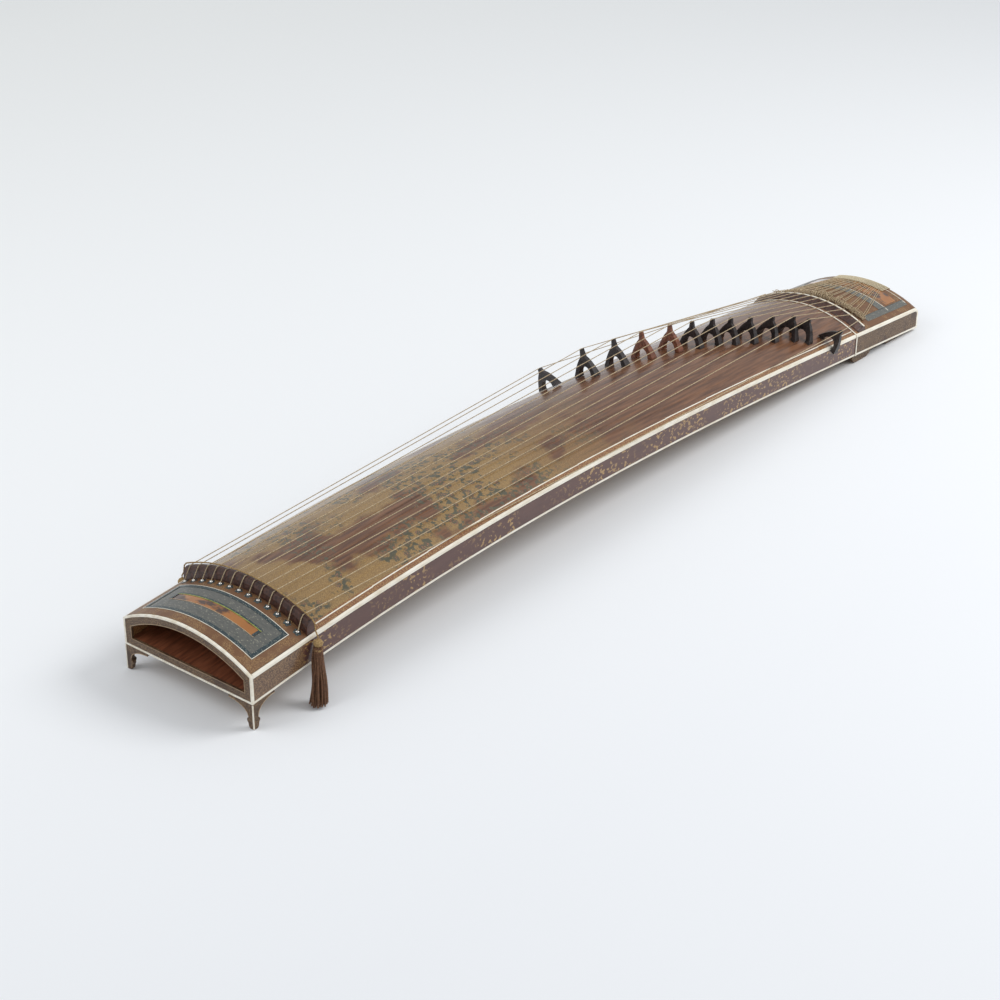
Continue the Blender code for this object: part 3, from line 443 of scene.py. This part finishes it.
def makeHeadTrim(finishes):
    ivory, border = finishes["ivory"], finishes["border"]
    width, band, half = trim["frameLine"], trim["borderWidth"], trim["inlayHalf"]
    front, rear = trim["inlayFront"], trim["inlayRear"]
    deckSheet("inlay_line_front", front, front + width, -half, half, ivory)
    deckSheet("inlay_line_rear", rear - width, rear, -half, half, ivory)
    for word, y in (("near", -half), ("far", half - width)):
        deckSheet("inlay_line_" + word, front, rear, y, y + width, ivory)
    deckSheet("inlay_border_front", front + width, front + width + band, -half, half, border)
    deckSheet("inlay_border_rear", rear - width - band, rear - width, -half, half, border)
    for word, y in (("near", -half + width), ("far", half - width - band)):
        deckSheet("inlay_border_" + word, front + width + band, rear - width - band, y, y + band, border)
    half, front, rear = trim["slotHalf"], trim["slotFront"], trim["slotRear"]
    greenFront, greenRear = rear - trim["greenFront"], rear - trim["greenRear"]
    deckSheet("slot_line_front", front - width, front, -half, half, finishes["dullIvory"])
    deckSheet("slot_line_rear", greenFront, greenRear, -half, half, finishes["greenLine"])
    deckSheet("slot_border_rear", greenRear, rear + width, -half, half, border)
    for word, y in (("near", -half), ("far", half - trim["slotEnd"])):
        deckSheet("slot_end_" + word, front, greenFront, y, y + trim["slotEnd"], border)


tailTrim = {"front": 1.650, "rear": 1.800, "near": -0.1045, "far": 0.0925, "band": 0.012, "edge": 0.0012,
            "half": 0.1, "crossBand": (1.712, 1.732), "crossInset": 0.009, "frontLine": (1.732, 1.7335),
            "rearLine": (1.799, 1.8005)}


def makeTailTrim(finishes):
    inlay, ivory, band, half = finishes["inlay"], finishes["ivory"], tailTrim["band"], tailTrim["half"]
    front, rear = tailTrim["front"], tailTrim["rear"]
    for word in ("near", "far"):
        y = tailTrim[word]
        inner = y + band if word == "near" else y - tailTrim["edge"]
        deckSheet("tail_inlay_" + word, front, rear, y, y + band, inlay)
        deckSheet("tail_border_" + word, front, rear, inner, inner + tailTrim["edge"], finishes["border"])
    inset = half - tailTrim["crossInset"]
    deckSheet("tail_inlay_front", *tailTrim["crossBand"], -inset, inset, inlay)
    deckSheet("tail_line_front", *tailTrim["frontLine"], -half, half, ivory)
    deckSheet("tail_line_rear", *tailTrim["rearLine"], -half, half, ivory)


# thin pale lines round the mouth, and down the corners and curved edges of the front legs
lines = {"archRise": 0.030, "archHalf": 0.1128, "archTop": 0.0730 + 0.0306, "archSteps": 12, "sill": 0.0534,
         "mouthProud": 0.0004, "mouthThick": 0.00045, "cornerProud": 0.0003, "cornerThick": 0.0012,
         "cornerHeights": (0.0012, 0.020, 0.0392), "frontReach": 0.046, "sideReach": 0.042, "footReach": 0.0095,
         "footHeight": 0.019, "topDrop": 0.0038, "edgeProud": 0.0001, "edgeThick": 0.00055}


def mouthRoute(front):
    half, rise = lines["archHalf"], lines["archRise"]
    radius = (half ** 2 + rise ** 2) / (2 * rise)
    x = front + lines["mouthProud"]
    arch = []
    for i in range(2 * lines["archSteps"] + 1):
        y = half * (1 - i / lines["archSteps"])
        arch.append(Vector((x, y, lines["archTop"] - radius + math.sqrt(radius ** 2 - y ** 2))))
    sill = [Vector((x, y, lines["sill"])) for y in (-half, half)]
    return arch + sill + [arch[0]]


def legEdgeRoute(front, side, onSide):
    # a quarter curve from the body down to the foot, on the side or on the front of the leg
    reach = lines["sideReach"] if onSide else lines["frontReach"]
    top = (underside(reach) if onSide else underside(0)) - lines["topDrop"]
    y = side * (halfWidth(0) + lines["edgeProud"])
    route = []
    for degrees in range(90, 181, 10):
        turn = math.radians(degrees)
        out = reach + (reach - lines["footReach"]) * math.cos(turn)
        up = lines["footHeight"] + (top - lines["footHeight"]) * math.sin(turn)
        route.append(Vector((front + out, y, up)) if onSide
                     else Vector((front - lines["edgeProud"], y - side * out, up)))
    return route


def makeLines(finishes):
    front = -body["length"] / 2
    proud = lines["cornerProud"]
    strandBundle("mouth_line", [mouthRoute(front)], lines["mouthThick"], finishes["dullIvory"])
    corners = [[Vector((front + proud, side * halfWidth(0) - side * proud, z)) for z in lines["cornerHeights"]]
               for side in (-1, 1)]
    strandBundle("leg_corner_lines", corners, lines["cornerThick"], finishes["ivory"])
    edges = [legEdgeRoute(front, side, onSide) for side in (-1, 1) for onSide in (False, True)]
    strandBundle("leg_edge_lines", edges, lines["edgeThick"], finishes["dullIvory"])


eyelet = {"flowerPlace": 0.1052, "flowerFoot": 0.0062, "flowerTop": 0.0058, "flowerDepth": 0.0003,
          "flowerLift": 0.0003, "petals": 5, "petalCut": 0.14, "beadPlace": 0.1058, "beadRadius": 0.0031,
          "beadFlat": 0.62, "beadLift": 0.0009}


def makeEyelets(finishes):
    # a dark flower and a pale bead where each string goes into the head
    flowers = bmesh.new()
    for number in range(1, strings["count"] + 1):
        y = stringOffset(number)
        disc = bmesh.ops.create_cone(flowers, cap_ends=True, segments=20, radius1=eyelet["flowerFoot"],
                                     radius2=eyelet["flowerTop"], depth=eyelet["flowerDepth"])["verts"]
        for vert in disc:
            turn = math.atan2(vert.co.y, vert.co.x)
            petal = 1 - eyelet["petalCut"] + eyelet["petalCut"] * math.cos(eyelet["petals"] * turn)
            vert.co = overDeck(eyelet["flowerPlace"] + vert.co.x * petal, y + vert.co.y * petal,
                               eyelet["flowerLift"] + vert.co.z)
    addPiece("eyelet_flowers", meshFrom("eyelet_flowers", flowers), finishes["border"])
    beads = bmesh.new()
    for number in range(1, strings["count"] + 1):
        bead = bmesh.ops.create_uvsphere(beads, u_segments=14, v_segments=8, radius=eyelet["beadRadius"])["verts"]
        bmesh.ops.scale(beads, verts=bead, vec=(1, 1, eyelet["beadFlat"]))
        bmesh.ops.translate(beads, verts=bead,
                            vec=overDeck(eyelet["beadPlace"], stringOffset(number), eyelet["beadLift"]))
    shape = meshFrom("eyelet_beads", beads)
    shape.shade_smooth()
    addPiece("eyelet_beads", shape, finishes["bead"])


# spare string ends on the tail: wound loops, a loose tangle on them and strings fanned out behind
coil = {"place": body["hoopPlace"] + 0.0595, "halfSpan": 0.100, "radius": 0.0070, "height": 0.0036,
        "strand": 0.00055, "layerTurns": (44, 31), "turnPoints": 12, "wander": 0.0012, "lift": 0.0016,
        "layerLift": 0.0011, "layerFlatter": 0.12, "limit": 0.104}


def makeCoils(finishes):
    # the CAD coil's loops, wound again in finer gut with a second, looser layer
    routes = []
    for layer, turns in enumerate(coil["layerTurns"]):
        total = turns * coil["turnPoints"]
        route = []
        for i in range(total + 1):
            turn = 2 * math.pi * i / coil["turnPoints"] + layer
            y = coil["halfSpan"] * (1 - 2 * i / total)
            wander = coil["wander"] * math.sin(i * 0.37 + 2 * layer)
            rise = coil["height"] * (1 - math.cos(turn)) * (1 - coil["layerFlatter"] * layer)
            lift = coil["lift"] + coil["layerLift"] * layer + rise
            x = coil["place"] + wander + coil["radius"] * math.sin(turn)
            route.append(overDeck(x, max(-coil["limit"], min(coil["limit"], y + wander)), lift))
        routes.append(route)
    piece = strandBundle("string_loops", routes, coil["strand"], finishes["silk"])
    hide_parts("string_coils")


tangle = {"loops": 34, "loopPoints": 21, "pile": -0.045, "pileSpread": 0.035, "stray": 0.10, "middleLimit": 0.098,
          "ahead": -0.004, "behind": 0.016, "small": 0.004, "large": 0.011, "flat": 0.15, "steep": 0.9,
          "turnStep": 0.55, "drift": 0.0006, "limit": 0.106, "lift": 0.0030, "strand": 0.00060}


def makeTangle(finishes):
    # two loops in three gather in one pile nearer to the front, the others stray
    routes = []
    for i in range(tangle["loops"]):
        if i % 3:
            middle = randomDraw.gauss(tangle["pile"], tangle["pileSpread"])
        else:
            middle = randomDraw.uniform(-tangle["stray"], tangle["stray"])
        middle = max(-tangle["middleLimit"], min(tangle["middleLimit"], middle))
        place = coil["place"] + randomDraw.uniform(tangle["ahead"], tangle["behind"])
        reach = randomDraw.uniform(tangle["small"], tangle["large"])
        lean = randomDraw.uniform(tangle["flat"], tangle["steep"])
        start = randomDraw.uniform(0, 6.28)
        route = []
        for k in range(tangle["loopPoints"]):
            turn = start + tangle["turnStep"] * k
            size = reach * (0.55 + 0.45 * math.sin(0.23 * k + i))
            y = middle + size * math.sin(turn) + tangle["drift"] * k
            lift = tangle["lift"] + reach * lean * 0.6 * (1 + math.sin(turn + i))
            route.append(overDeck(place + size * math.cos(turn), max(-tangle["limit"], min(tangle["limit"], y)),
                                  lift))
        routes.append(route)
    strandBundle("string_tangle", routes, tangle["strand"], finishes["silk"])


fan = {"front": 1.652, "length": 0.134, "frontSpacing": 0.0155, "rearSpacing": 0.0082, "uneven": 0.003,
       "pairHalf": 0.0006, "pairSpread": 3, "steps": 14, "lift": 0.0008, "rise": 0.0035, "riseSteps": 3,
       "strand": 0.00065}


def makeFan(finishes):
    # a pair of strands for each string, closing up towards the tail
    steps = fan["steps"]
    routes = []
    for i in range(strings["count"]):
        fromCentre = strings["middle"] - 1 - i
        start = fromCentre * fan["frontSpacing"] + randomDraw.uniform(-fan["uneven"], fan["uneven"])
        end = fromCentre * fan["rearSpacing"]
        for pair in (-fan["pairHalf"], fan["pairHalf"]):
            routes.append([overDeck(fan["front"] + fan["length"] * k / steps,
                                    start + fan["pairSpread"] * pair + (end - start) * k / steps,
                                    fan["lift"] + fan["rise"] * math.exp(-k / fan["riseSteps"]))
                           for k in range(steps + 1)])
    strandBundle("fan_strings", routes, fan["strand"], finishes["silk"])


band = {"strands": 34, "steps": 14, "half": 0.0545, "rearGap": 0.0005, "lift": 0.0013, "strand": 0.0010}


def makeBand(finishes):
    # the strings laid side by side where they go round the tail's end
    low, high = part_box("string_band")
    start, end = low[0] + body["length"] / 2, high[0] + body["length"] / 2 - band["rearGap"]
    routes = []
    for i in range(band["strands"]):
        y = band["half"] * (1 - 2 * i / (band["strands"] - 1))
        routes.append([overDeck(start + (end - start) * math.sin(0.5 * math.pi * k / band["steps"]), y,
                                band["lift"]) for k in range(band["steps"] + 1)])
    piece = strandBundle("band_strands", routes, band["strand"], finishes["bandSilk"])
    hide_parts("string_band")


tassel = {"knot": 0.0070, "grooves": 5, "grooveDepth": 0.06, "strands": 40, "strandTurn": 2.399963, "steps": 12,
          "first": 0.05, "neck": 0.0050, "hem": 0.0130, "flare": 0.9, "hemHeight": 0.0030, "back": 0.022,
          "out": 0.018, "kink": 0.0012, "ply": 0.00085, "plyOffset": 0.00055, "plyTurn": 0.0062,
          "plyStep": 0.0013, "wrapTurns": 5, "wrapPoints": 16, "wrapStart": 0.085, "wrapLength": 0.030,
          "wrapRadius": 0.0056, "wrapThick": 0.0006}


def makeKnot(word, centre, finishes):
    name = "tassel_knot_" + word
    knot = bmesh.new()
    bmesh.ops.create_uvsphere(knot, u_segments=24, v_segments=16, radius=tassel["knot"])
    for vert in knot.verts:
        turn = math.atan2(vert.co.y, vert.co.x)
        rise = vert.co.z / tassel["knot"]
        groove = abs(math.sin(tassel["grooves"] * turn + tassel["grooves"] * rise))
        vert.co *= 1 - tassel["grooveDepth"] + tassel["grooveDepth"] * groove * (1 - rise ** 2)
        vert.co += centre
    shape = meshFrom(name, knot)
    shape.shade_smooth()
    addPiece(name, shape, finishes["cordSilk"], "tassel_" + word)


def strandRoute(centre, hem, turn, spread, kink):
    route = []
    for k in range(tassel["steps"] + 1):
        share = tassel["first"] + (1 - tassel["first"]) * k / tassel["steps"]
        reach = spread * (tassel["neck"] + (tassel["hem"] - tassel["neck"]) * share ** tassel["flare"])
        sway = kink * math.sin(math.pi * share * 2.2)
        spot = centre.lerp(hem, share)
        route.append(spot + Vector((reach * math.cos(turn) + sway, reach * math.sin(turn) - sway, 0)))
    return route


def makeTassel(word, side, finishes):
    # it hangs from its hinge, with a round knot, a wound neck and a skirt of twisted strands
    joint = [item for item in frame["record"]["behaviour"]["joints"] if item["name"] == "tassel_%s_swing" % word][0]
    centre = Vector(joint["pos_m"])
    bodyName = "tassel_" + word
    makeKnot(word, centre, finishes)
    hem = Vector((centre.x - tassel["back"], centre.y + side * tassel["out"], tassel["hemHeight"]))
    routes = []
    for i in range(tassel["strands"]):
        spread = math.sqrt((i + 0.5) / tassel["strands"])
        kink = randomDraw.uniform(-tassel["kink"], tassel["kink"])
        route = strandRoute(centre, hem, tassel["strandTurn"] * i, spread, kink)
        routes += twisted(route, tassel["plyOffset"], tassel["plyTurn"], tassel["plyStep"])
    skirt = strandBundle("tassel_strands_" + word, routes, tassel["ply"], finishes["tassel_silk"], bodyName)
    wraps = []
    total = tassel["wrapTurns"] * tassel["wrapPoints"]
    for i in range(total + 1):
        turn = 2 * math.pi * i / tassel["wrapPoints"]
        spot = centre.lerp(hem, tassel["wrapStart"] + tassel["wrapLength"] * i / total)
        wraps.append(spot + tassel["wrapRadius"] * Vector((math.cos(turn), math.sin(turn), 0)))
    strandBundle("tassel_wrap_" + word, [wraps], tassel["wrapThick"], finishes["cordSilk"], bodyName)
    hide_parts("tassel_" + word)


cord = {"ply": 0.00068, "offset": 0.00058, "turn": 0.0055, "step": 0.0009, "half": 0.113, "halfSteps": 6,
        "ridgeFront": 0.1125, "ridgeInset": 0.0036, "ridgeHeight": 0.0155, "endRise": 0.005,
        "place": 0.1125 + 0.018 * 0.52, "over": 0.0014 + 0.0009 + 0.00125, "tasselPlace": 0.121, "knotOut": 0.009,
        "knotDrop": 0.0025, "knotRise": 0.004, "bendShift": 0.0003,
        "fall": ((0.0048, 0.0085), (0.0032, 0.0200), (-0.0018, 0.0255))}


def cordEnd(side):
    # from the knot up to the end of the ridge
    x, tasselX = cord["place"], cord["tasselPlace"]
    reach = side * halfWidth(tasselX)
    knot = Vector((tasselX - body["length"] / 2, side * (halfWidth(tasselX) + cord["knotOut"]),
                   edgeHeight(tasselX) - cord["knotDrop"]))
    route = [knot, knot + Vector((0, 0, cord["knotRise"]))]
    for bendX, (out, up) in zip((tasselX + cord["bendShift"], x, x), cord["fall"]):
        route.append(Vector((bendX - body["length"] / 2, reach + side * out, edgeHeight(x) + up)))
    return route


def makeCord(finishes):
    # over the head ridge and its strings, then down to the knots
    half = halfWidth(cord["ridgeFront"]) - cord["ridgeInset"]
    middle = []
    for i in range(2 * cord["halfSteps"] + 1):
        y = cord["half"] * (1 - i / cord["halfSteps"])
        lift = cord["ridgeHeight"] + cord["endRise"] * (y / half) ** 2 + cord["over"]
        middle.append(overDeck(cord["place"], y, lift))
    route = cordEnd(1) + middle + list(reversed(cordEnd(-1)))
    piece = strandBundle("twisted_cord", twisted(route, cord["offset"], cord["turn"], cord["step"]), cord["ply"],
                         finishes["cordSilk"])
    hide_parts("tassel_cord")


# floor, light and camera
# the floor's near and far tones are painted shade and painted light, not the floor's own colour
stage = {"floorSize": 30, "shadedNearTone": (0.82, 0.84, 0.87), "litFarTone": (0.98, 1.0, 1.0), "toneStart": -0.6,
         "toneEnd": 3.0, "roughness": 0.9, "sky": (0.97, 0.985, 1.0), "skyStrength": 0.62}


def makeStage():
    # a wide pale floor that gets a little paler behind the koto; this is painted light, a painted shade in front
    # fading to a painted brighter tone behind
    draft = bmesh.new()
    bmesh.ops.create_grid(draft, x_segments=1, y_segments=1, size=stage["floorSize"])
    shape = meshFrom("floor", draft)
    floor = bpy.data.objects.new("floor", shape)
    bpy.context.scene.collection.objects.link(floor)
    paint, tree, shader, place = startFinish("pale floor", stage["roughness"])
    # painted light: the floor colour runs from the painted shaded tone in front to the painted lit tone behind
    paintedLightShare = between(tree, along(tree, place, "Y"), stage["toneStart"], stage["toneEnd"])
    colourWith(tree, shader, mixed(tree, paintedLightShare, stage["shadedNearTone"], stage["litFarTone"]))
    shape.materials.append(paint)
    world = bpy.data.worlds.new("studio")
    bpy.context.scene.world = world
    world.use_nodes = True
    background = world.node_tree.nodes["Background"]
    background.inputs["Color"].default_value = (*stage["sky"], 1)
    background.inputs["Strength"].default_value = stage["skyStrength"]


lamps = {"key": {"place": (1.9, -2.3, 3.0), "power": 95}, "fill": {"place": (-2.6, 1.6, 2.8), "power": 30}}
lampSize = 2.4


def addLamp(name, place, power):
    # a soft round lamp that points at the middle of the koto
    lamp = bpy.data.lights.new(name, "AREA")
    lamp.shape = "DISK"
    lamp.size = lampSize
    lamp.energy = power
    holder = bpy.data.objects.new(name, lamp)
    holder.location = place
    holder.rotation_euler = (-Vector(place)).to_track_quat("-Z", "Y").to_euler()
    bpy.context.scene.collection.objects.link(holder)


view = {"place": (-2.53485, -1.88844, 1.56572), "turn": 39.3276, "down": 27.1193, "lens": 75.166, "sensor": 36}


def makeCamera():
    lens = bpy.data.cameras.new("camera")
    lens.lens = view["lens"]
    lens.sensor_width = view["sensor"]
    camera = bpy.data.objects.new("camera", lens)
    camera.location = view["place"]
    camera.rotation_euler = Euler((math.radians(90 - view["down"]), 0, math.radians(view["turn"] - 90)))
    bpy.context.scene.collection.objects.link(camera)
    bpy.context.scene.camera = camera


makeStage()
makeCamera()
for name, lamp in lamps.items():
    addLamp(name, lamp["place"], lamp["power"])
print("stage done")
finishes = makeFinishes()
dressNodes(finishes)
print("finishes done")
makeDeckLines(finishes)
makeHeadTrim(finishes)
makeTailTrim(finishes)
makeLines(finishes)
makeEyelets(finishes)
print("trim done")
makeCoils(finishes)
makeTangle(finishes)
makeFan(finishes)
makeBand(finishes)
for word, side in (("near", -1), ("far", 1)):
    makeTassel(word, side, finishes)
makeCord(finishes)
print("silk done")
bpy.context.scene.view_settings.view_transform = "Standard"
